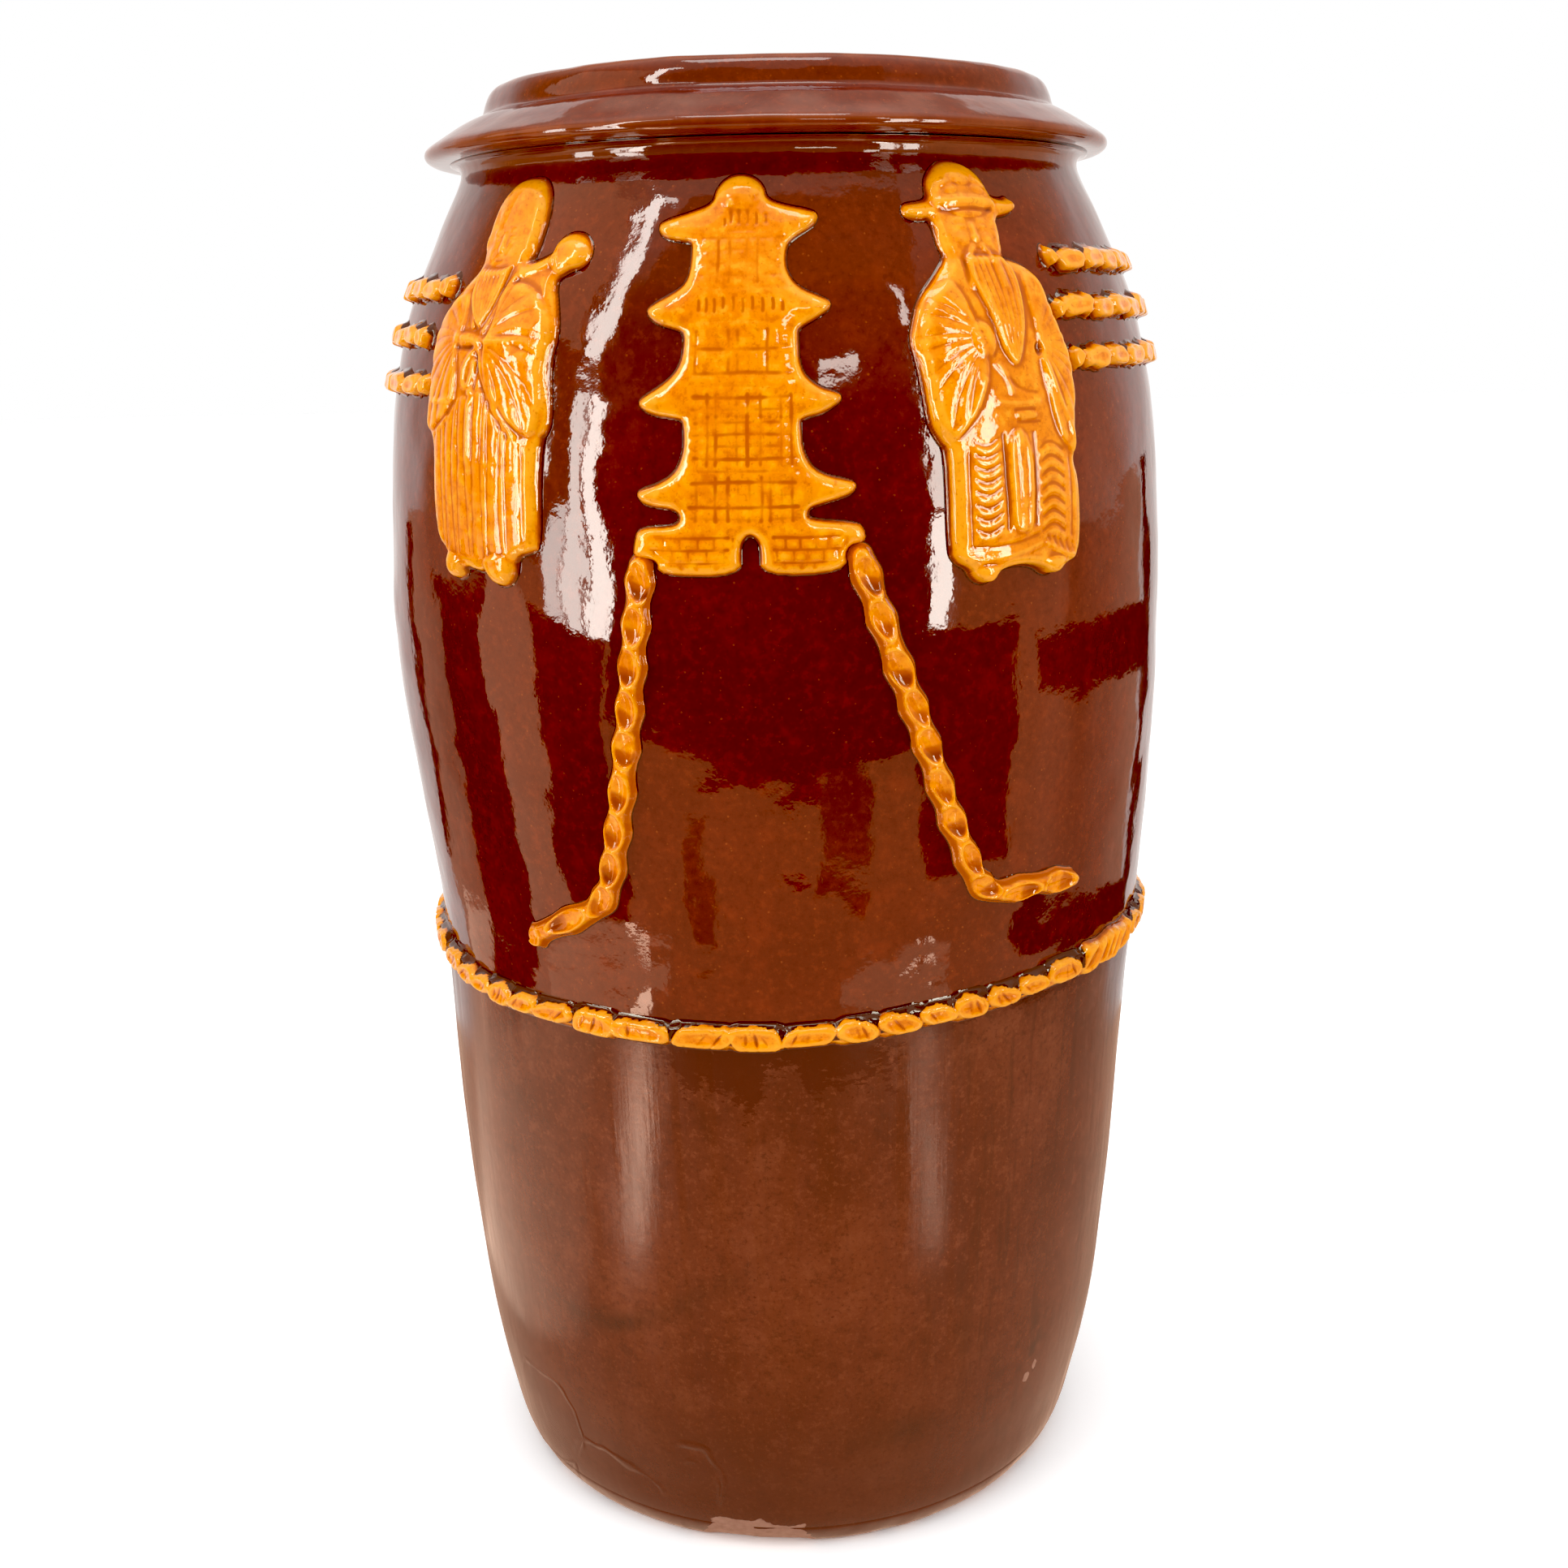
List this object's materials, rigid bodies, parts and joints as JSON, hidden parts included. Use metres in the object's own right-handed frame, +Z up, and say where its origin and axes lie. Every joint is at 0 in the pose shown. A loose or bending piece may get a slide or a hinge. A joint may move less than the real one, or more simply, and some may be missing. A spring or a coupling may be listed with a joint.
{
  "type": "kimchi jar",
  "caption": "Tall brown-glazed earthenware fermenting jar with an open collared mouth, finger-pressed waist band and yellow-glazed relief sprigs of a tower, robed figures and ropes.",
  "frame": {"origin": "centre of the flat underside, where the jar stands", "axes": "+Z up through the mouth, -Y towards the decorated front, +X to the right as seen from the front"},
  "size_m": [0.4018, 0.4081, 0.7296],
  "materials": {
    "bare_clay": "matte",
    "satin_brown_glaze": "satin",
    "glossy_brown_glaze": "gloss",
    "yellow_glaze": "gloss"
  },
  "bodies": {
    "root": {"base_slab": "bare_clay", "lower_body": "satin_brown_glaze", "upper_body": "glossy_brown_glaze", "mouth_ring": "glossy_brown_glaze", "waist_band": "yellow_glaze", "tower_sprig": "yellow_glaze", "elder_sprig": "yellow_glaze", "official_sprig": "yellow_glaze", "left_leg_rope": "yellow_glaze", "right_leg_rope": "yellow_glaze", "left_bar_upper": "yellow_glaze", "left_bar_middle": "yellow_glaze", "left_bar_lower": "yellow_glaze", "right_bar_upper": "yellow_glaze", "right_bar_middle": "yellow_glaze", "right_bar_lower": "yellow_glaze"}
  },
  "joints": []
}
